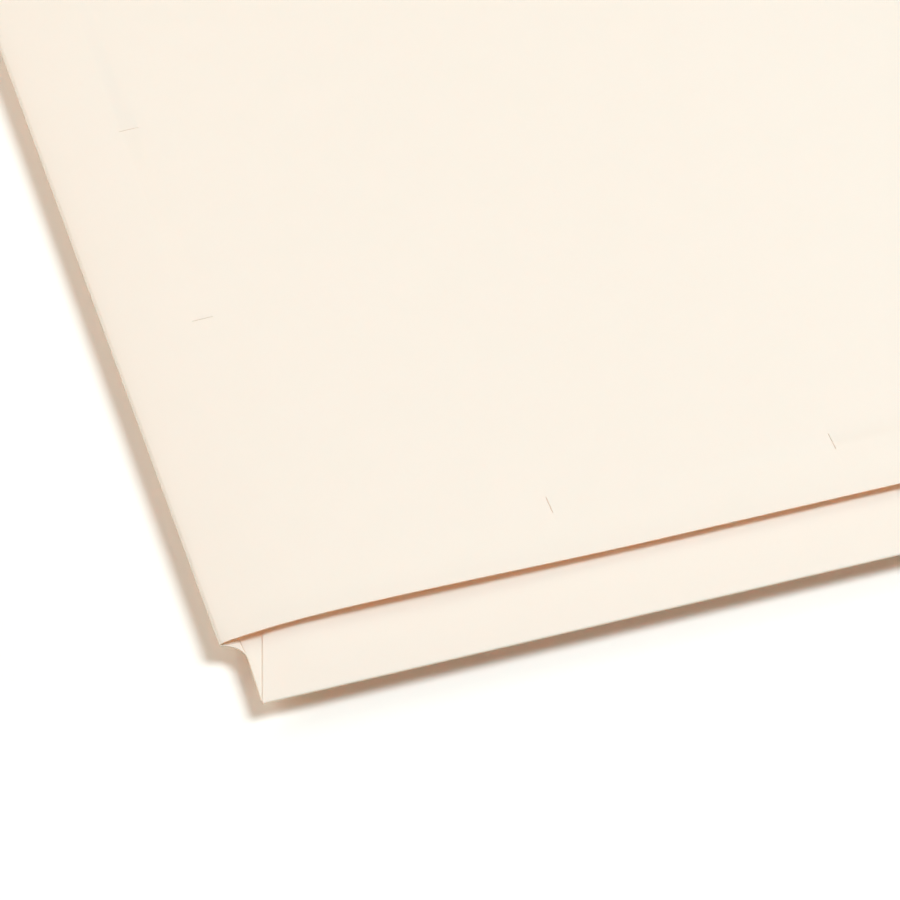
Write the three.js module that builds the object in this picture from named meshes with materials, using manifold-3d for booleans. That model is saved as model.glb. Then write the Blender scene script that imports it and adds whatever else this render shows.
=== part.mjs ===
// A letter-size end-tab fastener folder, closed and lying on its back panel.
// Millimetres, +Z up. +X runs from the fold to the open edge, +Y from the tab to the far end.
// One sheet of manila card makes both panels. It is folded along the -X edge, and the back panel
// reaches past the front one as a tab. Each panel holds a two-prong fastener on its inner face.
import * as THREE from 'three';
import { mergeVertices } from 'three/addons/utils/BufferGeometryUtils.js';
import Module from 'manifold-3d';

const wasm = await Module();
wasm.setup();

// The card and the folder's outline
const cardThickness = 0.28;
const folderWidth = 241.3; // from the fold to the open edge
const folderLength = 311.15; // from the tab's edge to the far end
const tabDepth = 19.05; // how far the tab shows past the front panel
const scoreInset = 4.76; // from the fold to the score line beside it, and the notch's radius
const panelCornerRadius = 3;
const tabCornerRadius = 0.5;

// The fold and the curl of the closed folder
const foldGap = 0.3; // between the two inner faces at the fold
const edgeLift = 6.42; // the underside's height where the fold and the tab meet
const tabLift = 6.2; // its height along the tab, beyond the fold's lift and without the edge's sag
const tabLiftReach = 140; // where the lift along the tab has died out
const tapeMargin = 4; // flat card left around the back fastener's tape
const cornerReach = 55; // how much further in the fold's lift reaches beside the tab
// The strips beside the fold: the back's falls a little, the front's rises and goes on at a slope
const strip = { fallAtFold: 0.42, fallAtScore: 0.62, fallReach: 20, rise: 1.26, slope: 0.15 };
const stripEnd = { flat: 8, full: 17 }; // from the tab's edge: where that fall begins and is complete
const tabSag = { depth: 0.6, from: 6, full: 42, reach: 16 }; // the tab's edge hangs a little, away from the fold
const crest = { fromFold: 33, height: 3.4 }; // the front's highest line, above the fold's middle
const plateau = { fromFold: 105, height: 2.15 }; // where the front panel has become flat

// The tab's second ply, turned over at the tab's edge and glued down
const plyDepth = 31.75;
const plyMitre = 15.7; // degrees between its cut ends and the fold
const glueLine = 0.05;

// The fasteners, laid out from the card's face upwards
const prongCentres = 69.85; // standard two-hole spacing
const fastenerInset = 16.5; // from the panel's end to the line of the prongs
const pad = { margin: 2.5, thickness: 0.1, corner: 3 }; // margin past the base on every side
const base = { overhang: 11, width: 12.7, thickness: 0.35, corner: 2 }; // overhang past the prongs
const prong = { length: 25, width: 4.8, thickness: 0.3 };
const bar = { thickness: 0.3, footLength: 4.5, slotWidth: 6, slotLength: 1.9 };
const lock = { length: 8, wall: 0.25, lip: 1.4, ridge: 0.25, ridgeLength: 1, ridgeWidth: 7 };
const slideClearance = 0.07; // between a lock and what it slides round
const sideClearance = 0.3; // between a lock's side walls and the bar's edges
const lockGap = 0.9; // half the gap between the two locks at rest
const hingeClearance = 0.03; // a folded prong's height above the bar

// Slits cut through the front panel for fasteners in other places
const slit = { length: 5.2, width: 0.2 };
const frontSlit = { fromFold: 84.1, fromEdge: 17.45 };
const sideSlit = { fromFold: 23, fromEdge: 99 };

const baseLength = prongCentres + 2 * base.overhang;
const foldLiftReach = (folderWidth - baseLength) / 2 - pad.margin - tapeMargin;
const foldHeight = edgeLift - strip.fallAtFold + cardThickness + foldGap / 2;

// Materials
const card = new THREE.MeshStandardMaterial({ color: 0xf8f1e1, roughness: 0.8, metalness: 0 });
const paper = new THREE.MeshStandardMaterial({ color: 0xe9d9b8, roughness: 0.85, metalness: 0 });
const tinplate = new THREE.MeshStandardMaterial({ color: 0xc4c7ca, roughness: 0.35, metalness: 1 });

// Solids
function toSolid(geometry) {
  const bare = geometry.clone();
  bare.deleteAttribute('normal');
  bare.deleteAttribute('uv');
  const merged = mergeVertices(bare);
  return new wasm.Manifold(new wasm.Mesh({
    numProp: 3,
    vertProperties: Float32Array.from(merged.attributes.position.array),
    triVerts: Uint32Array.from(merged.index.array),
  }));
}

function toMesh(name, solid, material) {
  const { vertProperties, triVerts } = solid.getMesh();
  const geometry = new THREE.BufferGeometry();
  geometry.setAttribute('position', new THREE.BufferAttribute(vertProperties, 3));
  geometry.setIndex(new THREE.BufferAttribute(triVerts, 1));
  geometry.computeVertexNormals();
  const mesh = new THREE.Mesh(geometry, material);
  mesh.name = name;
  return mesh;
}

// A box between two corners
function block([x0, y0, z0], [x1, y1, z1]) {
  const box = new THREE.BoxGeometry(x1 - x0, y1 - y0, z1 - z0);
  box.translate((x0 + x1) / 2, (y0 + y1) / 2, (z0 + z1) / 2);
  return toSolid(box);
}

// An outline in plan, made solid from one height to another
function prism(shape, low, high) {
  const geometry = new THREE.ExtrudeGeometry(shape, {
    depth: high - low, bevelEnabled: false, curveSegments: 6,
  });
  geometry.translate(0, 0, low);
  return toSolid(geometry);
}

// A rectangle with a radius for each corner, going round from the low x, low y corner by the high x one
function rounded(x0, y0, x1, y1, [a, b, c, d]) {
  const shape = new THREE.Shape();
  shape.moveTo(x0 + a, y0);
  shape.lineTo(x1 - b, y0);
  if (b) shape.absarc(x1 - b, y0 + b, b, -Math.PI / 2, 0, false);
  shape.lineTo(x1, y1 - c);
  if (c) shape.absarc(x1 - c, y1 - c, c, 0, Math.PI / 2, false);
  shape.lineTo(x0 + d, y1);
  if (d) shape.absarc(x0 + d, y1 - d, d, Math.PI / 2, Math.PI, false);
  shape.lineTo(x0, y0 + a);
  if (a) shape.absarc(x0 + a, y0 + a, a, Math.PI, Math.PI * 1.5, false);
  return shape;
}

// The card's surfaces, as heights over a plan measured from the fold and from the tab's edge

// A cubic from one height and slope to another, used for every smooth stretch
function ease(t, span, h0, slope0, h1, slope1) {
  const a = 2 * t ** 3 - 3 * t ** 2 + 1;
  const b = t ** 3 - 2 * t ** 2 + t;
  const c = 3 * t ** 2 - 2 * t ** 3;
  const d = t ** 3 - t ** 2;
  return a * h0 + b * span * slope0 + c * h1 + d * span * slope1;
}

// From 0 at one place to 1 at another, level at both
function ramp(value, from, to) {
  const t = Math.min(1, Math.max(0, (value - from) / (to - from)));
  return ease(t, 1, 0, 0, 1, 0);
}

// The share of the tab's lift that is left at a distance from the tab's edge
function tabShare(fromTab) {
  const t = Math.min(1, Math.max(0, fromTab / tabLiftReach));
  return (1 - t) ** 2 * (1 + t);
}

// The share of the fold's lift that is left, reaching further in beside the tab
function foldShare(fromFold, fromTab) {
  return 1 - ramp(fromFold, 0, foldLiftReach + cornerReach * tabShare(fromTab));
}

// How far the strip beside the fold falls, apart from its end at the tab
function stripFall(fromFold, fromTab) {
  const depth = fromFold < scoreInset
    ? strip.fallAtFold + (strip.fallAtScore - strip.fallAtFold) * fromFold / scoreInset
    : strip.fallAtScore * (1 - ramp(fromFold, scoreInset, strip.fallReach));
  return depth * ramp(fromTab, stripEnd.flat, stripEnd.full);
}

// How far the tab's edge hangs, away from the fold
function edgeSag(fromFold, fromTab) {
  const nearness = Math.max(0, 1 - Math.max(0, fromTab) / tabSag.reach);
  return tabSag.depth * ramp(fromFold, tabSag.from, tabSag.full) * nearness ** 2;
}

// The back's underside: flat on the table, raised along the fold and along the tab
function backHeight(fromFold, fromTab) {
  const resting = (1 - foldShare(fromFold, fromTab)) * (1 - tabLift / edgeLift * tabShare(fromTab));
  return edgeLift * (1 - resting) - stripFall(fromFold, fromTab) - edgeSag(fromFold, fromTab);
}

// The front's inner face: up from the fold, over a crest and down to a flat plateau
function frontHeight(fromFold) {
  const atFold = cardThickness + foldGap / 2;
  const atScore = atFold + strip.rise;
  let outer = plateau.height;
  if (fromFold <= scoreInset) {
    outer = atFold + strip.rise * fromFold / scoreInset;
  } else if (fromFold <= crest.fromFold) {
    const span = crest.fromFold - scoreInset;
    outer = ease((fromFold - scoreInset) / span, span, atScore, strip.slope, crest.height, 0);
  } else if (fromFold < plateau.fromFold) {
    const span = plateau.fromFold - crest.fromFold;
    outer = ease((fromFold - crest.fromFold) / span, span, crest.height, 0, plateau.height, 0);
  }
  return foldHeight + outer - cardThickness;
}

// A closed slab of card over a grid of stops, its lower face at heightAt
function slab(xStops, yStops, heightAt) {
  const rows = yStops.length;
  const positions = [];
  const triangles = [];
  for (const lift of [0, cardThickness]) {
    for (const x of xStops) {
      for (const y of yStops) positions.push(x, y, heightAt(x, y) + lift);
    }
  }
  const top = xStops.length * rows;
  const quad = (a, b, c, d) => triangles.push(a, b, c, a, c, d);
  for (let i = 0; i + 1 < xStops.length; i++) {
    for (let j = 0; j + 1 < rows; j++) {
      const [p, q] = [i * rows + j, (i + 1) * rows + j];
      quad(p, p + 1, q + 1, q);
      quad(top + p, top + q, top + q + 1, top + p + 1);
    }
  }
  const edge = (p, q) => quad(p, q, top + q, top + p);
  for (let i = 0; i + 1 < xStops.length; i++) {
    edge(i * rows, (i + 1) * rows);
    edge((i + 2) * rows - 1, (i + 1) * rows - 1);
  }
  for (let j = 0; j + 1 < rows; j++) {
    edge(j + 1, j);
    edge((xStops.length - 1) * rows + j, (xStops.length - 1) * rows + j + 1);
  }
  const geometry = new THREE.BufferGeometry();
  geometry.setAttribute('position', new THREE.Float32BufferAttribute(positions, 3));
  geometry.setIndex(triangles);
  return toSolid(geometry);
}

// Even steps from one stop to the next
function steps(from, to, count) {
  return Array.from({ length: count }, (_, i) => from + (to - from) * i / count);
}

const past = 5; // the slabs run this far past the outlines that trim them
const tall = foldHeight + crest.height + past;
const backXStops = [
  0, ...steps(scoreInset, strip.fallReach, 5), ...steps(strip.fallReach, foldLiftReach, 9),
  ...steps(foldLiftReach, foldLiftReach + cornerReach, 7), foldLiftReach + cornerReach, folderWidth + past,
];
const backYStops = [
  -past, ...steps(0, stripEnd.flat, 3), ...steps(stripEnd.flat, stripEnd.full, 4),
  ...steps(stripEnd.full, tabLiftReach, 14), tabLiftReach, folderLength + past,
];
const frontXStops = [
  0, ...steps(scoreInset, crest.fromFold, 14), ...steps(crest.fromFold, plateau.fromFold, 20),
  plateau.fromFold, folderWidth + past,
];
const frontYStops = [tabDepth, folderLength + past];

const backSlab = slab(backXStops, backYStops, backHeight);
const raisedSlab = slab(backXStops, backYStops, (x, y) => backHeight(x, y) + cardThickness + glueLine);
const frontSlab = slab(frontXStops, frontYStops, frontHeight);
const cut = (solid, shape) => solid.intersect(prism(shape, -past, tall));

// Plan outlines, measured from the fold and from the tab's edge
const backOutline = rounded(scoreInset, 0, folderWidth, folderLength,
  [tabCornerRadius, panelCornerRadius, panelCornerRadius, 0]);
const frontOutline = rounded(scoreInset, tabDepth, folderWidth, folderLength,
  [0, panelCornerRadius, panelCornerRadius, 0]);
const frontStripOutline = rounded(0, tabDepth, scoreInset, folderLength, [0, 0, 0, 0]);

// The back's strip ends in a quarter-round notch beside the tab
const backStripOutline = new THREE.Shape();
backStripOutline.moveTo(scoreInset, tabDepth - scoreInset);
backStripOutline.lineTo(scoreInset, folderLength);
backStripOutline.lineTo(0, folderLength);
backStripOutline.lineTo(0, tabDepth);
backStripOutline.absarc(0, tabDepth - scoreInset, scoreInset, Math.PI / 2, 0, true);

// The ply is a long trapezium: its cut ends lean in from the tab's corners
const plyLean = plyDepth * Math.tan(THREE.MathUtils.degToRad(plyMitre));
const plyStart = scoreInset + tabCornerRadius;
const plyEnd = folderWidth - panelCornerRadius;
const plyOutline = new THREE.Shape([
  new THREE.Vector2(plyStart, 0),
  new THREE.Vector2(plyEnd, 0),
  new THREE.Vector2(plyEnd - plyLean, plyDepth),
  new THREE.Vector2(plyStart + plyLean, plyDepth),
]);

// Slits in pairs at the prong spacing: one pair along the front edge, one pair beside the fold
function withSlits(panel) {
  const row = tabDepth + frontSlit.fromEdge;
  const side = tabDepth + sideSlit.fromEdge;
  let result = panel;
  for (const x of [frontSlit.fromFold, frontSlit.fromFold + prongCentres]) {
    result = result.subtract(block(
      [x - slit.width / 2, row - slit.length / 2, 0],
      [x + slit.width / 2, row + slit.length / 2, tall]));
  }
  for (const y of [side, side + prongCentres]) {
    result = result.subtract(block(
      [sideSlit.fromFold - slit.length / 2, y - slit.width / 2, 0],
      [sideSlit.fromFold + slit.length / 2, y + slit.width / 2, tall]));
  }
  return result;
}

const sheets = new THREE.Group();
sheets.position.set(-folderWidth / 2, -folderLength / 2, 0);
sheets.add(
  toMesh('back_panel', cut(backSlab, backOutline), card),
  toMesh('back_spine_strip', cut(backSlab, backStripOutline), card),
  toMesh('tab_ply', cut(raisedSlab, plyOutline), card),
  toMesh('front_panel', withSlits(cut(frontSlab, frontOutline)), card),
  toMesh('front_spine_strip', cut(frontSlab, frontStripOutline), card),
);

// The fastener's levels above the card's face
const baseTop = pad.thickness + base.thickness;
const lipLow = baseTop + slideClearance;
const barLow = lipLow + lock.wall + slideClearance;
const barTop = barLow + bar.thickness;
const prongLow = barTop + hingeClearance;
const roofLow = prongLow + prong.thickness + slideClearance;
const roofTop = roofLow + lock.wall;
const prongAt = prongCentres / 2;

// A flat plate about the middle, with rounded corners
function plate(length, width, corner, low, high) {
  const outline = rounded(-length / 2, -width / 2, length / 2, width / 2,
    [corner, corner, corner, corner]);
  return prism(outline, low, high);
}

// The base strip, with a short riser below each prong
function fastenerBase() {
  let solid = plate(baseLength, base.width, base.corner, pad.thickness, baseTop);
  for (const side of [-1, 1]) {
    const [near, far] = [side * prongAt, side * (prongAt + prong.thickness)];
    solid = solid.add(block(
      [Math.min(near, far), -prong.width / 2, pad.thickness + base.thickness / 2],
      [Math.max(near, far), prong.width / 2, barTop]));
  }
  return solid;
}

// The bar that presses the papers down: slotted over the risers, its ends resting on the base
function compressor() {
  let solid = plate(baseLength, base.width, base.corner, barLow, barTop);
  const foot = baseLength / 2 - bar.footLength;
  const ends = plate(baseLength, base.width, base.corner, baseTop, barLow + bar.thickness / 2);
  solid = solid.add(ends.subtract(block([-foot, -base.width, 0], [foot, base.width, roofTop])));
  for (const side of [-1, 1]) {
    const middle = side * (prongAt + prong.thickness / 2);
    solid = solid.subtract(block(
      [middle - bar.slotLength / 2, -bar.slotWidth / 2, 0],
      [middle + bar.slotLength / 2, bar.slotWidth / 2, roofTop]));
  }
  return solid;
}

// A prong folded flat over the bar, from its bend towards the middle, with a rounded tip
function foldedProng(side) {
  const half = prong.width / 2;
  const shape = new THREE.Shape();
  shape.moveTo(prongAt, -half);
  shape.lineTo(prongAt, half);
  shape.lineTo(prongAt - prong.length + half, half);
  shape.absarc(prongAt - prong.length + half, 0, half, Math.PI / 2, Math.PI * 1.5, false);
  const geometry = new THREE.ExtrudeGeometry(shape, {
    depth: prong.thickness, bevelEnabled: false, curveSegments: 6,
  });
  geometry.translate(0, 0, prongLow);
  if (side < 0) geometry.rotateZ(Math.PI);
  return toSolid(geometry);
}

// A lock: a C-shaped slide round the bar, its lips under the bar's edges, with a ridge to push it by
function slidingLock(side) {
  const inner = base.width / 2 + sideClearance;
  const outer = inner + lock.wall;
  const mouth = inner - lock.lip;
  const lipTop = lipLow + lock.wall;
  const section = new THREE.Shape([
    [mouth, lipLow], [outer, lipLow], [outer, roofTop], [-outer, roofTop], [-outer, lipLow],
    [-mouth, lipLow], [-mouth, lipTop], [-inner, lipTop], [-inner, roofLow],
    [inner, roofLow], [inner, lipTop], [mouth, lipTop],
  ].map(([x, y]) => new THREE.Vector2(x, y)));
  const geometry = new THREE.ExtrudeGeometry(section, { depth: lock.length, bevelEnabled: false });
  // The section's x becomes Y and its y becomes Z, so that it is drawn out along X
  geometry.applyMatrix4(new THREE.Matrix4().makeBasis(
    new THREE.Vector3(0, 1, 0), new THREE.Vector3(0, 0, 1), new THREE.Vector3(1, 0, 0)));
  const low = side > 0 ? lockGap : -lockGap - lock.length;
  geometry.translate(low, 0, 0);
  const middle = low + lock.length / 2;
  return toSolid(geometry).add(block(
    [middle - lock.ridgeLength / 2, -lock.ridgeWidth / 2, roofLow + lock.wall / 2],
    [middle + lock.ridgeLength / 2, lock.ridgeWidth / 2, roofTop + lock.ridge]));
}

// The paper tape that bonds the base to the card
function bondPad() {
  const [length, width] = [baseLength + 2 * pad.margin, base.width + 2 * pad.margin];
  return plate(length, width, pad.corner, 0, pad.thickness);
}

// One fastener, standing on the card's face at height 0 with its prongs in line along X
function fastener(panel) {
  const group = new THREE.Group();
  group.add(
    toMesh(`${panel}_bond_pad`, bondPad(), paper),
    toMesh(`${panel}_fastener_base`, fastenerBase(), tinplate),
    toMesh(`${panel}_compressor`, compressor(), tinplate),
  );
  for (const [place, side] of [['fold_side', -1], ['open_side', 1]]) {
    group.add(
      toMesh(`${panel}_prong_${place}`, foldedProng(side), tinplate),
      toMesh(`${panel}_lock_${place}`, slidingLock(side), tinplate),
    );
  }
  return group;
}

const fastenerLine = folderLength / 2 - fastenerInset;
const backFastener = fastener('back');
backFastener.position.set(0, fastenerLine, cardThickness);

// The front fastener hangs from the front panel, so it is turned over
const frontFastener = fastener('front');
frontFastener.rotation.x = Math.PI;
frontFastener.position.set(0, fastenerLine, frontHeight(plateau.fromFold));

const folder = new THREE.Group();
folder.add(sheets, backFastener, frontFastener);

export default folder;
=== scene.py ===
# %% [markdown]
# A manila fastener folder, seen from above its tab.
# The folder is one sheet of pale card, folded along its left side and lying closed. The back panel
# reaches past the front one as a tab with a second ply glued on. Two flat metal fasteners are inside.
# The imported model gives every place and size. This script makes the fine surfaces around it.

# %% Load the frame
import math

import bmesh
import bpy
from mathutils import Matrix, Vector


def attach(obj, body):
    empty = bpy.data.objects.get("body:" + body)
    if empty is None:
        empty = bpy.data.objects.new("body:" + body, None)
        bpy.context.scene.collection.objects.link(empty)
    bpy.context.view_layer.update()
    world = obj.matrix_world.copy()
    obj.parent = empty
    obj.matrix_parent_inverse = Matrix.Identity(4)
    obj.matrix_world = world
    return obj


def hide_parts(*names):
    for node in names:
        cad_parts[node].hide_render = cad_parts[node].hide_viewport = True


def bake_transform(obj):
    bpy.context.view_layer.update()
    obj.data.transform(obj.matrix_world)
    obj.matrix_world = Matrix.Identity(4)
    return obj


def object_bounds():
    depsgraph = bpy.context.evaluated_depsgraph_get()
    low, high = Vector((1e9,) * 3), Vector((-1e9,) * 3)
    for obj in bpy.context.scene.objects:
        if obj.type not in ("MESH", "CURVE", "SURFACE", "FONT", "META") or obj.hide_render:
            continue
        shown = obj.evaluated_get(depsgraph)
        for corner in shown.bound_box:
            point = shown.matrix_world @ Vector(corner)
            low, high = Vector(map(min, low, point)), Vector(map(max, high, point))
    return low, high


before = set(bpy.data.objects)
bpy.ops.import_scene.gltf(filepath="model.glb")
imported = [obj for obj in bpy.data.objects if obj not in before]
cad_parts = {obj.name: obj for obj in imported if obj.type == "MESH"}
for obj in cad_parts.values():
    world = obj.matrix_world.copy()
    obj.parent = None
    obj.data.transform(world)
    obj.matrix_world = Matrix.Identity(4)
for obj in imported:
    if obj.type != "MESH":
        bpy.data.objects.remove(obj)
cad_low, cad_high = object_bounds()

# %% [markdown]
# All sizes below are in millimetres, and mm() turns them into Blender's metres. Plan places are
# measured from the fold and from the tab's edge, as a folder maker would, and at() puts such a
# place in the model's own frame, whose origin is under the middle of the folder.

# %% Sizes of the card and the folder
MILLIMETRE = 0.001
CARD = 0.28
WIDTH = (cad_high.x - cad_low.x) / MILLIMETRE
LENGTH = (cad_high.y - cad_low.y) / MILLIMETRE
TAB_DEPTH = 19.05
SCORE_INSET = 4.76
PANEL_CORNER = 3.0
TAB_CORNER = 1.5
FOLD_GAP = 0.3
EDGE_LIFT = 6.42
FALL_AT_FOLD = 0.42
FOLD_HEIGHT = EDGE_LIFT - FALL_AT_FOLD + CARD + FOLD_GAP / 2
print("folder", round(WIDTH, 2), "by", round(LENGTH, 2), "mm")


def mm(*lengths):
    return Vector(length * MILLIMETRE for length in lengths)


def at(from_fold, from_tab, height):
    return mm(from_fold - WIDTH / 2, from_tab - LENGTH / 2, height)


# %% [markdown]
# The camera stands where the photographer's did. The fold and the tab's edge are square to each
# other on the real folder, and that fixes the elevation and the turn. A long lens from far off
# gives the picture's nearly parallel lines.

# %% Camera
ELEVATION = math.radians(46.57)
TURN = math.radians(17.19)
LENS_PIXELS = 5000
FRAME_PIXELS = 900
PIXEL_SIZE = 0.2352
SENSOR = 36.0
AIM_FROM_FOLD, AIM_FROM_TAB = 67.89, 61.96

camera_data = bpy.data.cameras.new("camera")
camera_data.sensor_width = SENSOR
camera_data.lens = LENS_PIXELS / FRAME_PIXELS * SENSOR
camera_data.clip_start, camera_data.clip_end = 0.05, 50
camera = bpy.data.objects.new("camera", camera_data)
bpy.context.scene.collection.objects.link(camera)
bpy.context.scene.camera = camera
backward = Vector((
    -math.sin(TURN) * math.cos(ELEVATION), -math.cos(TURN) * math.cos(ELEVATION), math.sin(ELEVATION)))
aim = at(AIM_FROM_FOLD, AIM_FROM_TAB, FOLD_HEIGHT)
camera.location = aim + backward * LENS_PIXELS * PIXEL_SIZE * MILLIMETRE
camera.rotation_euler = (-backward).to_track_quat("-Z", "Y").to_euler()
print("camera", [round(c, 3) for c in camera.location], "lens", round(camera_data.lens, 1))

# %% [markdown]
# Each surface is a node material. These helpers make an empty one and its commonest nodes, so that the
# cells below only say what is special about a finish. Noise reads Object coordinates: on a piece that
# has its place in its mesh they never slide.

# %% Material helpers
WHITE = (1, 1, 1)


def new_material(name, color, roughness, metallic=0.0):
    material = bpy.data.materials.new(name)
    material.use_nodes = True
    tree = material.node_tree
    shader = tree.nodes["Principled BSDF"]
    shader.inputs["Base Color"].default_value = (*color, 1)
    shader.inputs["Roughness"].default_value = roughness
    shader.inputs["Metallic"].default_value = metallic
    return material, tree, shader


def noise(tree, scale, detail, squeeze=(1, 1, 1)):
    """A noise texture on the object's own coordinates, in features per metre."""
    place = tree.nodes.new("ShaderNodeTexCoord")
    mapping = tree.nodes.new("ShaderNodeMapping")
    mapping.inputs["Scale"].default_value = squeeze
    texture = tree.nodes.new("ShaderNodeTexNoise")
    texture.inputs["Scale"].default_value = scale
    texture.inputs["Detail"].default_value = detail
    tree.links.new(place.outputs["Object"], mapping.inputs["Vector"])
    tree.links.new(mapping.outputs["Vector"], texture.inputs["Vector"])
    return texture.outputs["Fac"]


def remap(tree, value, low, high, from_low=0.3, from_high=0.7):
    """The value, taken from one range to another."""
    node = tree.nodes.new("ShaderNodeMapRange")
    node.inputs["From Min"].default_value = from_low
    node.inputs["From Max"].default_value = from_high
    node.inputs["To Min"].default_value = low
    node.inputs["To Max"].default_value = high
    tree.links.new(value, node.inputs["Value"])
    return node.outputs["Result"]


def mixed(tree, factor, first, second):
    """A colour between two, by a factor's socket."""
    mix = tree.nodes.new("ShaderNodeMix")
    mix.data_type = "RGBA"
    mix.inputs["A"].default_value = (*first, 1)
    mix.inputs["B"].default_value = (*second, 1)
    tree.links.new(factor, mix.inputs["Factor"])
    return mix.outputs["Result"]


def math_node(tree, operation, first, second):
    """One sum on two sockets."""
    node = tree.nodes.new("ShaderNodeMath")
    node.operation = operation
    tree.links.new(first, node.inputs[0])
    tree.links.new(second, node.inputs[1])
    return node.outputs["Value"]


def add_bump(tree, shader, height, strength, distance):
    """Roughens the shader's normal by a height, with the distance in millimetres."""
    bump = tree.nodes.new("ShaderNodeBump")
    bump.inputs["Strength"].default_value = strength
    bump.inputs["Distance"].default_value = distance * MILLIMETRE
    tree.links.new(height, bump.inputs["Height"])
    tree.links.new(bump.outputs["Normal"], shader.inputs["Normal"])


print("material helpers ready")

# %% [markdown]
# Manila card is pale buff with a faint cloudiness, the marks of its fibres, and a matt skin. Light
# soaks into it and comes out the other side orange, which is why the gap under the front panel
# glows. Subsurface scattering would give that in a thick body, but a sheet a quarter of a millimetre
# thick does better with a share of translucent shading, mixed with the plain surface. The orange that
# comes back through the lit faces adds red to them, so the plain colour is written with less of it.

# %% Manila card
CARD_COLOR = (0.888, 0.916, 0.865)
CARD_CLOUD = (0.883, 0.911, 0.857)
GLOW_COLOR = (1.2, 0.58, 0.0)
GLOW_SHARE = 0.17
CARD_ROUGHNESS, CARD_SHINE = 0.62, 0.1
CLOUD_SCALE, FIBRE_SCALE, FIBRE_STRETCH = 90, 900, (1, 0.25, 1)


def make_card():
    material, tree, shader = new_material("manila_card", CARD_COLOR, CARD_ROUGHNESS)
    clouds = noise(tree, CLOUD_SCALE, detail=5)
    fibres = noise(tree, FIBRE_SCALE, detail=3, squeeze=FIBRE_STRETCH)
    pale = mixed(tree, remap(tree, clouds, 0, 1), CARD_COLOR, CARD_CLOUD)
    tree.links.new(pale, shader.inputs["Base Color"])
    add_bump(tree, shader, fibres, strength=0.08, distance=0.03)
    shader.inputs["Specular IOR Level"].default_value = CARD_SHINE
    glow = tree.nodes.new("ShaderNodeBsdfTranslucent")
    glow.inputs["Color"].default_value = (*GLOW_COLOR, 1)
    both = tree.nodes.new("ShaderNodeMixShader")
    both.inputs["Fac"].default_value = GLOW_SHARE
    tree.links.new(shader.outputs["BSDF"], both.inputs[1])
    tree.links.new(glow.outputs["BSDF"], both.inputs[2])
    tree.links.new(both.outputs["Shader"], tree.nodes["Material Output"].inputs["Surface"])
    return material


card_material = make_card()
print("card", [round(c, 3) for c in CARD_COLOR])

# %% [markdown]
# The card isn't flat. The folder is closed but springs open a little: the front panel climbs from
# the fold to a soft crest and comes down to a flat plateau. The back panel lies flat, but curls up
# along the fold and along the stiff tab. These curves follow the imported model's closely and are drawn
# with many more steps. The front panel's curve is a chain of cubics between a few stations.

# %% Heights of the card
TAB_LIFT, TAB_LIFT_REACH = 6.2, 140.0
FOLD_LIFT_REACH, CORNER_REACH = 68.225, 55.0
FALL_AT_SCORE, FALL_REACH = 0.95, 20.0
TAB_EDGE_HEIGHT, SAG_REACH = 5.47, 16.0
STRIP_RISE, ROLL_SLOPE, STRIP_SLOPE = 1.26, 0.45, 0.15
CREST_AT, CREST_HEIGHT = 33.0, 3.4
PLATEAU_AT, PLATEAU_HEIGHT = 105.0, 2.15
FRONT_SAG, FRONT_SAG_REACH = 0.2, 120.0
GROOVE_DEPTH, GROOVE_HALF = 0.24, 0.12
FOLD_OUTER = CARD + FOLD_GAP / 2
# Each station is its distance from the fold, the outer face's height over the fold, and the slope.
FRONT_STATIONS = [
    (0, FOLD_OUTER, ROLL_SLOPE),
    (SCORE_INSET, FOLD_OUTER + STRIP_RISE, STRIP_SLOPE),
    (CREST_AT, CREST_HEIGHT, 0),
    (PLATEAU_AT, PLATEAU_HEIGHT, 0),
]


def ease(t, span, height_0, slope_0, height_1, slope_1):
    """A cubic from one height and slope to another."""
    return ((2 * t**3 - 3 * t**2 + 1) * height_0 + (t**3 - 2 * t**2 + t) * span * slope_0
            + (3 * t**2 - 2 * t**3) * height_1 + (t**3 - t**2) * span * slope_1)


def ramp(value, start, end):
    """From 0 at one place to 1 at another, level at both."""
    t = min(1.0, max(0.0, (value - start) / (end - start)))
    return t * t * (3 - 2 * t)


def groove(from_fold):
    """The pressed line of the score, as a depth."""
    return GROOVE_DEPTH * max(0.0, 1 - abs(from_fold - SCORE_INSET) / GROOVE_HALF)


def tab_share(from_tab):
    """How much of the tab's lift a place has: all at the tab, none far from it."""
    t = min(1.0, max(0.0, from_tab / TAB_LIFT_REACH))
    return (1 - t)**2 * (1 + t)


def free_height(from_fold, from_tab):
    """The back panel's underside without the hang of the tab's edge."""
    near_tab = tab_share(from_tab)
    by_fold = 1 - ramp(from_fold, 0, FOLD_LIFT_REACH + CORNER_REACH * near_tab)
    lift = EDGE_LIFT * (1 - (1 - by_fold) * (1 - TAB_LIFT / EDGE_LIFT * near_tab))
    if from_fold < SCORE_INSET:
        return lift - FALL_AT_SCORE + (FALL_AT_SCORE - FALL_AT_FOLD) * (1 - from_fold / SCORE_INSET)**3
    return lift - FALL_AT_SCORE * (1 - ramp(from_fold, SCORE_INSET, FALL_REACH))


def back_height(from_fold, from_tab):
    """The back panel's underside."""
    nearness = max(0.0, 1 - max(0.0, from_tab) / SAG_REACH)
    return free_height(from_fold, from_tab) - (free_height(from_fold, 0) - TAB_EDGE_HEIGHT) * nearness**2


def front_height(from_fold, from_tab):
    """The front panel's inner face."""
    outer = PLATEAU_HEIGHT
    for (start, *first), (end, *second) in zip(FRONT_STATIONS, FRONT_STATIONS[1:]):
        if start <= from_fold < end:
            outer = ease((from_fold - start) / (end - start), end - start, *first, *second)
    sag = FRONT_SAG * ramp(from_fold, 0, SCORE_INSET) * (1 - ramp(from_tab, TAB_DEPTH, FRONT_SAG_REACH))
    return FOLD_HEIGHT + outer - CARD - sag


print("crest", round(front_height(CREST_AT, 0) + CARD, 2), "mm high")

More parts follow.
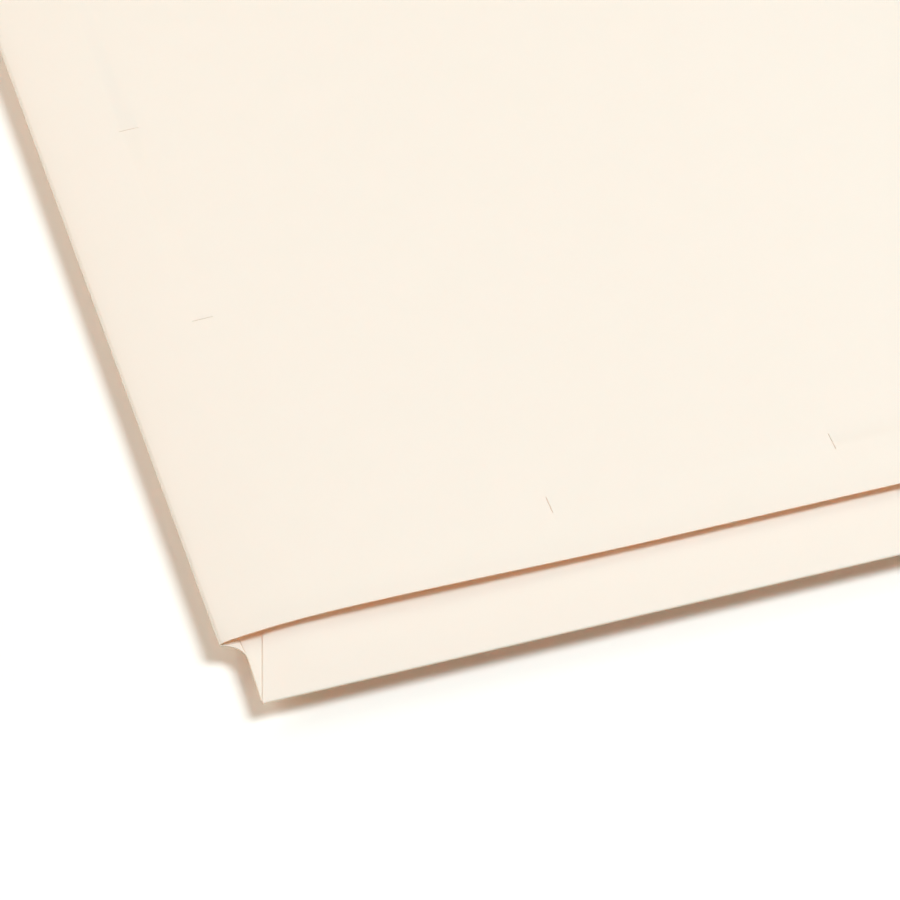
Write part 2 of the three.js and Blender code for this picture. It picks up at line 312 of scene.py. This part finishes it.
# %% [markdown]
# A sheet of card starts as its flat outline. Corners are rounded by bevelling their vertices, the
# sheet is diced by cutting planes so that it can bend, each vertex is lifted to the card's height,
# and the face is extruded to the card's thickness. The rims get a tiny bevel, since a die cuts a
# slightly soft edge.

# %% Sheet tools
RIM_BEVEL, RIM_ANGLE = 0.05, math.radians(60)
SHARP_ANGLE = math.radians(35)
TOUCH = 0.01


def outline_face(points, corners):
    """A bmesh face on plan points. corners gives the radius at each point, 0 for a sharp one."""
    bm = bmesh.new()
    vertices = [bm.verts.new((x, y, 0)) for x, y in points]
    bm.faces.new(vertices)
    for vertex, radius in zip(vertices, corners):
        if radius:
            bmesh.ops.bevel(bm, geom=[vertex], offset=radius, offset_type="OFFSET", segments=8,
                            profile=0.5, affect="VERTICES", material=-1)
    return bm


def dice(bm, stops, axis):
    """Cuts the face at each stop along x (axis 0) or y (axis 1)."""
    normal = Vector((1, 0, 0)) if axis == 0 else Vector((0, 1, 0))
    for stop in stops:
        bmesh.ops.bisect_plane(bm, geom=bm.verts[:] + bm.edges[:] + bm.faces[:], dist=1e-5,
                               plane_co=normal * stop, plane_no=normal)


def steps(start, end, count):
    """Even places after the start, up to the end."""
    return [start + (end - start) * i / count for i in range(1, count + 1)]


def cut_boxes(bm, boxes):
    """Takes boxes out of a flat face. Each is (low x, high x, low y, high y)."""
    for low_x, high_x, low_y, high_y in boxes:
        dice(bm, (low_x, high_x), 0)
        dice(bm, (low_y, high_y), 1)
    for low_x, high_x, low_y, high_y in boxes:
        middles = [(f, f.calc_center_median()) for f in bm.faces]
        inside = [f for f, middle in middles if low_x < middle.x < high_x and low_y < middle.y < high_y]
        bmesh.ops.delete(bm, geom=inside, context="FACES")


def thicken(bm, thickness, along=(0, 0, 1)):
    """Extrudes every face by the thickness, straight up or along another direction."""
    new = bmesh.ops.extrude_face_region(bm, geom=bm.faces[:])["geom"]
    bmesh.ops.translate(bm, verts=[v for v in new if isinstance(v, bmesh.types.BMVert)],
                        vec=Vector(along) * thickness)
    bmesh.ops.recalc_face_normals(bm, faces=bm.faces[:])


def soften_rims(bm, width):
    """Bevels the edges where a face turns sharply."""
    rims = [e for e in bm.edges if e.is_manifold and e.calc_face_angle() > RIM_ANGLE]
    bmesh.ops.bevel(bm, geom=rims, offset=width, offset_type="OFFSET", segments=2, profile=0.5,
                    affect="EDGES", material=-1, clamp_overlap=True)


def finished(bm, name, material, matrix=None):
    """Puts a bmesh in millimetres into the scene as an object at the origin, in metres."""
    bmesh.ops.transform(bm, matrix=(matrix or Matrix()), verts=bm.verts[:])
    bmesh.ops.scale(bm, vec=(MILLIMETRE,) * 3, verts=bm.verts[:])
    for face in bm.faces:
        face.smooth = True
    for edge in bm.edges:
        edge.smooth = edge.is_manifold and edge.calc_face_angle() < SHARP_ANGLE
    mesh = bpy.data.meshes.new(name)
    bm.to_mesh(mesh)
    bm.free()
    piece = bpy.data.objects.new(name, mesh)
    mesh.materials.append(material)
    bpy.context.scene.collection.objects.link(piece)
    print(name, len(mesh.polygons), "faces")
    return piece


PLAN_TO_FRAME = Matrix.Translation((-WIDTH / 2, -LENGTH / 2, 0))
print("card", CARD, "mm thick, rims bevelled by", RIM_BEVEL, "mm")

# %% [markdown]
# The front panel runs from the fold to the open edge in one sheet, diced finely where it bends most,
# beside the fold. Four slits are cut through it, for fasteners in other places: they are made by
# dicing the sheet at their sides and taking out the sliver between.

# %% Front panel
ROLL_CENTRE = 0.3
PRONG_CENTRES = 69.85
SLIT_LENGTH, SLIT_WIDTH = 5.2, 0.11
FRONT_SLIT_FROM_FOLD, FRONT_SLIT_FROM_EDGE = 84.1, 17.45
SIDE_SLIT_FROM_FOLD, SIDE_SLIT_FROM_EDGE = 23.0, 99.0
SIDE_SLIT_START = SIDE_SLIT_FROM_FOLD - SLIT_LENGTH / 2
SIDE_SLIT_END = SIDE_SLIT_START + SLIT_LENGTH
FRONT_X_STOPS = (steps(ROLL_CENTRE, SCORE_INSET, 8) + steps(SCORE_INSET, SIDE_SLIT_START, 14)
                 + steps(SIDE_SLIT_START, SIDE_SLIT_END, 4) + steps(SIDE_SLIT_END, CREST_AT, 6)
                 + steps(CREST_AT, PLATEAU_AT, 32))
FRONT_Y_STOPS = steps(TAB_DEPTH, FRONT_SAG_REACH, 12)


def slit_boxes():
    half_length, half_width = SLIT_LENGTH / 2, SLIT_WIDTH / 2
    row = TAB_DEPTH + FRONT_SLIT_FROM_EDGE
    side = TAB_DEPTH + SIDE_SLIT_FROM_EDGE
    boxes = []
    for x in (FRONT_SLIT_FROM_FOLD, FRONT_SLIT_FROM_FOLD + PRONG_CENTRES):
        boxes.append((x - half_width, x + half_width, row - half_length, row + half_length))
    for y in (side, side + PRONG_CENTRES):
        boxes.append((SIDE_SLIT_START, SIDE_SLIT_END, y - half_width, y + half_width))
    return boxes


def make_front():
    bm = outline_face(
        [(ROLL_CENTRE, TAB_DEPTH), (WIDTH, TAB_DEPTH), (WIDTH, LENGTH), (ROLL_CENTRE, LENGTH)],
        [0, PANEL_CORNER, PANEL_CORNER, 0])
    dice(bm, FRONT_X_STOPS, 0)
    dice(bm, FRONT_Y_STOPS, 1)
    cut_boxes(bm, slit_boxes())
    for vertex in bm.verts:
        vertex.co.z = front_height(vertex.co.x, vertex.co.y)
    thicken(bm, CARD)
    soften_rims(bm, RIM_BEVEL)
    piece = finished(bm, "front_card", card_material, PLAN_TO_FRAME)
    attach(piece, "front_cover")
    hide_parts("front_panel", "front_spine_strip")


make_front()

# %% [markdown]
# The back panel is the same kind of sheet, with a step at its corner. Bevelling the inner corner of
# the step by the score's distance gives the quarter-round notch beside the tab. The score line is
# pressed into it as a groove, by three close cuts of which the middle one is sunk.

# %% Back panel
GLUE_LINE = 0.05
TAB_ROLL = CARD + GLUE_LINE / 2
GROOVE_STOPS = [SCORE_INSET - GROOVE_HALF, SCORE_INSET, SCORE_INSET + GROOVE_HALF]
CUT_SHIFT, CUT_FLARE = 0.34, 0.5
BACK_X_STOPS = (steps(SCORE_INSET, FALL_REACH, 14) + steps(FALL_REACH, FOLD_LIFT_REACH, 24)
                + steps(FOLD_LIFT_REACH, FOLD_LIFT_REACH + CORNER_REACH, 16))
BACK_Y_STOPS = steps(0, TAB_DEPTH, 18) + steps(TAB_DEPTH, TAB_LIFT_REACH, 40)


def cut_shift(from_tab):
    """How far the tab's cut end lies past the score line: the die was a little off and askew."""
    notch_start = TAB_DEPTH - SCORE_INSET
    if from_tab > notch_start:
        return CUT_SHIFT * (TAB_DEPTH - from_tab) / SCORE_INSET
    return CUT_SHIFT - CUT_FLARE * (1 - from_tab / notch_start)


def make_back():
    bm = outline_face(
        [(ROLL_CENTRE, TAB_DEPTH), (SCORE_INSET, TAB_DEPTH), (SCORE_INSET, TAB_ROLL), (WIDTH, TAB_ROLL),
         (WIDTH, LENGTH), (ROLL_CENTRE, LENGTH)],
        [0, SCORE_INSET - ROLL_CENTRE, TAB_CORNER, PANEL_CORNER, PANEL_CORNER, 0])
    dice(bm, GROOVE_STOPS + BACK_X_STOPS, 0)
    dice(bm, BACK_Y_STOPS, 1)
    for vertex in bm.verts:
        vertex.co.z = back_height(vertex.co.x, vertex.co.y) - groove(vertex.co.x)
        if vertex.co.x < SCORE_INSET + TAB_CORNER + TOUCH and vertex.co.y < TAB_DEPTH:
            vertex.co.x += cut_shift(vertex.co.y) * vertex.co.x / SCORE_INSET
    thicken(bm, CARD)
    soften_rims(bm, RIM_BEVEL)
    piece = finished(bm, "back_card", card_material, PLAN_TO_FRAME)
    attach(piece, "back_folder")
    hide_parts("back_panel", "back_spine_strip")


make_back()

# %% [markdown]
# The tab's second ply is the same card turned over at the tab's edge and glued down. Its ends are
# cut at a slant. The turn is a small half roll, spun round a line along the edge. The ply starts on
# the score line and stops before the tab's rounded far corner.

# %% Tab ply
PLY_DEPTH = 31.75
PLY_MITRE = math.radians(15.7)


def make_ply():
    start, end = SCORE_INSET, WIDTH - PANEL_CORNER
    lean = (PLY_DEPTH - TAB_ROLL) * math.tan(PLY_MITRE)
    bm = outline_face(
        [(start, TAB_ROLL), (end, TAB_ROLL), (end - lean, PLY_DEPTH), (start + lean, PLY_DEPTH)],
        [0, 0, 0, 0])
    dice(bm, BACK_X_STOPS, 0)
    dice(bm, BACK_Y_STOPS, 1)
    thicken(bm, CARD)
    front_faces = [f for f in bm.faces if all(abs(v.co.y - TAB_ROLL) < TOUCH for v in f.verts)]
    bmesh.ops.spin(bm, geom=front_faces, cent=(0, TAB_ROLL, -GLUE_LINE / 2), axis=(1, 0, 0),
                   angle=math.pi, steps=10, dvec=(0, 0, 0), use_duplicate=False)
    bmesh.ops.recalc_face_normals(bm, faces=bm.faces[:])
    for vertex in bm.verts:
        vertex.co.z += back_height(vertex.co.x, max(TAB_ROLL, vertex.co.y)) + CARD + GLUE_LINE
    piece = finished(bm, "tab_ply_card", card_material, PLAN_TO_FRAME)
    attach(piece, "back_folder")
    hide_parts("tab_ply")


make_ply()

# %% [markdown]
# The fold is a tight half roll of the same card. It is a strip as thick as the card, spun half a turn round
# the fold line.

# %% Fold
FOLD_INNER = FOLD_GAP / 2


def make_fold():
    bm = bmesh.new()
    corners = [(TAB_DEPTH, FOLD_INNER), (LENGTH, FOLD_INNER), (LENGTH, FOLD_OUTER), (TAB_DEPTH, FOLD_OUTER)]
    section = [bm.verts.new((ROLL_CENTRE, y, FOLD_HEIGHT - radius)) for y, radius in corners]
    face = bm.faces.new(section)
    bmesh.ops.spin(bm, geom=[face], cent=(ROLL_CENTRE, 0, FOLD_HEIGHT), axis=(0, 1, 0),
                   angle=math.pi, steps=16, dvec=(0, 0, 0), use_duplicate=False)
    bmesh.ops.recalc_face_normals(bm, faces=bm.faces[:])
    piece = finished(bm, "fold_roll", card_material, PLAN_TO_FRAME)
    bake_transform(piece)
    return piece


fold_roll = make_fold()
print("fold spans x", [round(v, 4) for v in (fold_roll.bound_box[0][0], fold_roll.bound_box[6][0])])

# %% [markdown]
# Each panel carries a two-prong fastener of thin tinplate on its inner face, at the far end. From the
# card upwards it has a paper tape, a base strip with risers, a slotted bar that holds the papers
# down, two prongs folded over it, and two slides that lock the prongs' tips. Tinplate is rolled
# steel with a bright, faintly streaked skin, so its roughness follows long thin noise. The tape is
# a coarse pale paper.

# %% Fastener finishes
TINPLATE_COLOR, TINPLATE_BLOTCH = (0.6, 0.605, 0.61), (0.53, 0.535, 0.54)
TIN_ROUGHNESS, SMOOTHEST, ROUGHEST = 0.3, 0.22, 0.38
STREAK_SCALE, STREAK_STRETCH, BLOTCH_SCALE = 2500, (0.03, 1, 1), 250
TAPE_COLOR, TAPE_FIBRE = (0.97, 0.86, 0.66), (0.9, 0.77, 0.55)
TAPE_ROUGHNESS, TAPE_FIBRE_SCALE, TAPE_STRETCH = 0.85, 1500, (0.3, 1, 1)


def make_tinplate():
    material, tree, shader = new_material("tinplate", TINPLATE_COLOR, TIN_ROUGHNESS, metallic=1.0)
    streaks = noise(tree, STREAK_SCALE, detail=3, squeeze=STREAK_STRETCH)
    blotches = noise(tree, BLOTCH_SCALE, detail=3)
    tree.links.new(remap(tree, streaks, SMOOTHEST, ROUGHEST), shader.inputs["Roughness"])
    shade = mixed(tree, remap(tree, blotches, 0, 1), TINPLATE_COLOR, TINPLATE_BLOTCH)
    tree.links.new(shade, shader.inputs["Base Color"])
    add_bump(tree, shader, streaks, strength=0.1, distance=0.01)
    return material


def make_tape():
    material, tree, shader = new_material("bond_paper", TAPE_COLOR, TAPE_ROUGHNESS)
    fibres = noise(tree, TAPE_FIBRE_SCALE, detail=4, squeeze=TAPE_STRETCH)
    shade = mixed(tree, remap(tree, fibres, 0, 1), TAPE_COLOR, TAPE_FIBRE)
    tree.links.new(shade, shader.inputs["Base Color"])
    add_bump(tree, shader, fibres, strength=0.3, distance=0.04)
    return material


tinplate, bond_paper = make_tinplate(), make_tape()
print("finishes", tinplate.name, bond_paper.name)

# %% [markdown]
# The fastener's parts are stacked, each with a small clearance. These levels are heights above the
# card's face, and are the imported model's. The front's fastener is the same thing turned over.

# %% Fastener levels
FASTENER_FROM_END = 16.5
FASTENER_LINE = LENGTH / 2 - FASTENER_FROM_END
PAD_TOP, BASE_TOP = 0.1, 0.45
BAR_LOW, BAR_TOP = 0.84, 1.14
PRONG_LOW, PRONG_TOP = 1.17, 1.47
LIP_LOW, LIP_TOP, ROOF_LOW, ROOF_TOP, RIDGE_TOP = 0.52, 0.77, 1.54, 1.79, 2.04
BASE_LENGTH, BASE_WIDTH = 91.85, 12.7
PRONG_AT, PRONG_LENGTH, PRONG_WIDTH, TIN = PRONG_CENTRES / 2, 25.0, 4.8, 0.3
METAL_RIM = 0.04
PLACES = {
    "back": Matrix.Translation((0, FASTENER_LINE, CARD)),
    "front": Matrix.Translation((0, FASTENER_LINE, FOLD_HEIGHT + PLATEAU_HEIGHT - CARD))
    @ Matrix.Rotation(math.pi, 4, "X"),
}
BODIES = {"back": "back_folder", "front": "front_cover"}


def plate(length, width, corner, low, high, rim=METAL_RIM, openings=()):
    """A flat plate about the middle, with rounded corners, soft rims and rectangular openings."""
    x, y = length / 2, width / 2
    bm = outline_face([(-x, -y), (x, -y), (x, y), (-x, y)], [corner] * 4)
    if openings:
        cut_boxes(bm, openings)
        bmesh.ops.dissolve_limit(bm, angle_limit=0.01, verts=bm.verts[:], edges=bm.edges[:])
    bmesh.ops.translate(bm, verts=bm.verts[:], vec=(0, 0, low))
    thicken(bm, high - low)
    soften_rims(bm, rim)
    return bm


def joined(first, *others):
    """Puts the other bmeshes into the first one."""
    for other in others:
        mesh = bpy.data.meshes.new("joined")
        other.to_mesh(mesh)
        other.free()
        first.from_mesh(mesh)
        bpy.data.meshes.remove(mesh)
    return first


def fit(bm, panel, name, material, body=None):
    """Places a fastener's part on its panel, instead of the node of that name."""
    piece = finished(bm, name + "_piece", material, PLACES[panel])
    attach(piece, body or BODIES[panel])
    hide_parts(name)


print("front fastener hangs from", round(FOLD_HEIGHT + PLATEAU_HEIGHT - CARD, 2), "mm")

# %% [markdown]
# The tape and the base strip. The strip is stamped from tinplate, and its two risers come up through
# the bar. They are tongues cut from the same strip, so the strip has an opening beside each riser.
# The tape is drawn a hair off the card: where two faces coincide, light gets lost between them.

# %% Tape and base
TAPE_MARGIN, TAPE_CORNER, TAPE_GAP, TAPE_RIM = 2.5, 3.0, 0.02, 0.02
BASE_CORNER, TONGUE_LENGTH, RISER_START = 2.0, 9.0, 0.1


def riser(side):
    """A tongue's standing part: a small plate turned up at the prong's root."""
    bm = plate(TIN, PRONG_WIDTH, 0, PAD_TOP + RISER_START, BAR_TOP)
    bmesh.ops.translate(bm, verts=bm.verts[:], vec=(side * (PRONG_AT + TIN / 2), 0, 0))
    return bm


def fit_base(panel):
    tape = plate(BASE_LENGTH + 2 * TAPE_MARGIN, BASE_WIDTH + 2 * TAPE_MARGIN, TAPE_CORNER,
                 TAPE_GAP, PAD_TOP, TAPE_RIM)
    fit(tape, panel, panel + "_bond_pad", bond_paper)
    half = PRONG_WIDTH / 2
    openings = [(PRONG_AT - TONGUE_LENGTH, PRONG_AT, -half, half),
                (-PRONG_AT, TONGUE_LENGTH - PRONG_AT, -half, half)]
    strip = plate(BASE_LENGTH, BASE_WIDTH, BASE_CORNER, PAD_TOP, BASE_TOP, openings=openings)
    fit(joined(strip, riser(-1), riser(1)), panel, panel + "_fastener_base", tinplate)


for panel in PLACES:
    fit_base(panel)

# %% [markdown]
# The bar lies over the base on its two feet and has a slot for each riser. A foot is the bar's end
# pressed down by the bar's height, so a plate under each end stands in for that joggle.

# %% Bar
SLOT_LENGTH, SLOT_WIDTH, BAR_CORNER = 1.9, 6.0, 2.0
FOOT_LENGTH, FOOT_CORNER = 4.5, 1.2


def foot(side):
    bm = plate(FOOT_LENGTH, BASE_WIDTH, FOOT_CORNER, BASE_TOP, BAR_LOW + TIN / 2)
    bmesh.ops.translate(bm, verts=bm.verts[:], vec=(side * (BASE_LENGTH - FOOT_LENGTH) / 2, 0, 0))
    return bm


def fit_bar(panel):
    middle, x, y = PRONG_AT + TIN / 2, SLOT_LENGTH / 2, SLOT_WIDTH / 2
    slots = [(side * middle - x, side * middle + x, -y, y) for side in (-1, 1)]
    bar = plate(BASE_LENGTH, BASE_WIDTH, BAR_CORNER, BAR_LOW, BAR_TOP, openings=slots)
    fit(joined(bar, foot(-1), foot(1)), panel, panel + "_compressor", tinplate)


for panel in PLACES:
    fit_bar(panel)

# %% [markdown]
# A prong is a flat tongue with a round tip. Rounding two corners of a rectangle by half its width
# gives the tip. It starts at its bend, where the hinge is.

# %% Prongs
SIDES = {"fold": -1, "open": 1}
TIP_ROUNDNESS = 0.99


def fit_prong(panel, place, side):
    half = PRONG_WIDTH / 2
    tip, tip_radius = PRONG_AT - PRONG_LENGTH, half * TIP_ROUNDNESS
    bm = outline_face([(PRONG_AT, -half), (PRONG_AT, half), (tip, half), (tip, -half)],
                      [0, 0, tip_radius, tip_radius])
    bmesh.ops.recalc_face_normals(bm, faces=bm.faces[:])
    bmesh.ops.translate(bm, verts=bm.verts[:], vec=(0, 0, PRONG_LOW))
    thicken(bm, PRONG_TOP - PRONG_LOW)
    soften_rims(bm, METAL_RIM)
    if side < 0:
        bmesh.ops.rotate(bm, verts=bm.verts[:], cent=(0, 0, 0), matrix=Matrix.Rotation(math.pi, 3, "Z"))
    fit(bm, panel, f"{panel}_prong_{place}_side", tinplate, f"{panel}_{place}_prong")


for panel in PLACES:
    for place, side in SIDES.items():
        fit_prong(panel, place, side)

# %% [markdown]
# A lock is a strip folded round the bar into a flat C, so it is drawn as that section and extruded
# along the bar. One half of the section is written out and mirrored. Its four outer folds are rounded
# first. A small ridge across its roof is what a thumb pushes.

# %% Locks
LOCK_GAP, LOCK_LENGTH, LOCK_FOLD = 0.9, 8.0, 0.12
LOCK_INNER, LOCK_OUTER, LOCK_MOUTH = 6.65, 6.9, 5.25
RIDGE_LENGTH, RIDGE_WIDTH, RIDGE_CORNER, RIDGE_SINK, RIDGE_RIM = 1.0, 7.0, 0.4, 0.1, 0.12


def fit_lock(panel, place, side):
    bm = bmesh.new()
    outside = [(LOCK_MOUTH, LIP_LOW), (LOCK_OUTER, LIP_LOW), (LOCK_OUTER, ROOF_TOP)]
    inside = [(LOCK_INNER, ROOF_LOW), (LOCK_INNER, LIP_TOP), (LOCK_MOUTH, LIP_TOP)]
    section = outside + [(-y, z) for y, z in outside[::-1] + inside[::-1]] + inside
    corners = [bm.verts.new((0, y, z)) for y, z in section]
    bm.faces.new(corners)
    bmesh.ops.bevel(bm, geom=corners[1:5], offset=LOCK_FOLD, offset_type="OFFSET", segments=4,
                    profile=0.5, affect="VERTICES", material=-1)
    thicken(bm, LOCK_LENGTH, along=(1, 0, 0))
    low = LOCK_GAP if side > 0 else -LOCK_GAP - LOCK_LENGTH
    bmesh.ops.translate(bm, verts=bm.verts[:], vec=(low, 0, 0))
    ridge = plate(RIDGE_LENGTH, RIDGE_WIDTH, RIDGE_CORNER, ROOF_TOP - RIDGE_SINK, RIDGE_TOP, RIDGE_RIM)
    bmesh.ops.translate(ridge, verts=ridge.verts[:], vec=(low + LOCK_LENGTH / 2, 0, 0))
    fit(joined(bm, ridge), panel, f"{panel}_lock_{place}_side", tinplate,
        f"{panel}_{place}_lock")


for panel in PLACES:
    for place, side in SIDES.items():
        fit_lock(panel, place, side)

# %% [markdown]
# The folder lies on a plain white table, drawn a hair below it so that no faces coincide. The table is
# a large plane whose colour keeps the folder's shadow. Away from the folder it fades to full white for
# the camera, as a lit studio table does, and the light that it throws back is a little warm.

# %% Floor
FLOOR_GAP, FLOOR_REACH = 0.05, 6000
FLOOR_SHOWN, FLOOR_BOUNCE = (1, 0.96, 0.93), (0.95, 0.88, 0.74)
FLOOR_ROUGHNESS = 0.9
FADE_START, FADE_END, LEAST_GLOW = 0.21, 1.0, 0.03


def make_floor():
    bm = bmesh.new()
    bmesh.ops.create_grid(bm, x_segments=1, y_segments=1, size=FLOOR_REACH)
    bmesh.ops.translate(bm, verts=bm.verts[:], vec=(0, 0, -FLOOR_GAP))
    material, tree, shader = new_material("floor", FLOOR_SHOWN, FLOOR_ROUGHNESS)
    shader.inputs["Specular IOR Level"].default_value = 0.0
    seen = tree.nodes.new("ShaderNodeLightPath").outputs["Is Camera Ray"]
    tree.links.new(mixed(tree, seen, FLOOR_BOUNCE, FLOOR_SHOWN), shader.inputs["Base Color"])
    shader.inputs["Emission Color"].default_value = (*WHITE, 1)
    place = tree.nodes.new("ShaderNodeTexCoord")
    distance = tree.nodes.new("ShaderNodeVectorMath")
    distance.operation = "LENGTH"
    tree.links.new(place.outputs["Object"], distance.inputs[0])
    fade = remap(tree, distance.outputs["Value"], LEAST_GLOW, 1, FADE_START, FADE_END)
    tree.links.new(math_node(tree, "MULTIPLY", fade, seen), shader.inputs["Emission Strength"])
    finished(bm, "floor", material)


make_floor()

# %% [markdown]
# The main light is high, soft and a little in front of the folder on the open side, so that the
# shadows fall towards the fold. Two weak lamps on the other side and a dim sky fill them. These are
# warm and the main light is cool, so the lit card keeps its own colour and the shadows turn brown.
# The camera, bare metal and light that comes through a sheet see the sky as a white room. Light in the
# narrow gap between the panels turns back many times, so it is given many bounces.

# %% Lights
LAMP_DISTANCE = 2.0
SKY_FILL = (0.13, 0.085, 0.045)


def add_area(name, azimuth, elevation, size, power, color):
    """A lamp facing the folder. Azimuth 0 is towards the far end, 90 towards the open edge."""
    data = bpy.data.lights.new(name, "AREA")
    data.shape = "RECTANGLE"
    data.size, data.size_y = size
    data.energy = power
    data.color = color
    lamp = bpy.data.objects.new(name, data)
    bpy.context.scene.collection.objects.link(lamp)
    a, e = math.radians(azimuth), math.radians(elevation)
    toward = Vector((math.sin(a) * math.cos(e), math.cos(a) * math.cos(e), math.sin(e)))
    lamp.location = toward * LAMP_DISTANCE
    lamp.rotation_euler = toward.to_track_quat("Z", "Y").to_euler()
    lamp.visible_camera = False


def make_sky():
    world = bpy.data.worlds.new("world")
    bpy.context.scene.world = world
    world.use_nodes = True
    tree = world.node_tree
    path = tree.nodes.new("ShaderNodeLightPath").outputs
    seen = math_node(tree, "MAXIMUM", path["Is Camera Ray"], path["Is Glossy Ray"])
    seen = math_node(tree, "MAXIMUM", seen, path["Is Transmission Ray"])
    tree.links.new(mixed(tree, seen, SKY_FILL, WHITE), tree.nodes["Background"].inputs["Color"])


add_area("key", azimuth=116, elevation=62, size=(0.84, 0.88), power=36.5, color=(0.845, 0.96, 1.0))
add_area("left", azimuth=287, elevation=38, size=(1.6, 1.2), power=13.5, color=(1.0, 1.0, 0.96))
add_area("back", azimuth=345, elevation=40, size=(1.6, 1.0), power=9.5, color=(1.0, 0.92, 0.76))
make_sky()
bpy.context.scene.view_settings.view_transform = "Standard"
bpy.context.scene.cycles.max_bounces = 48
bpy.context.scene.cycles.diffuse_bounces = 40
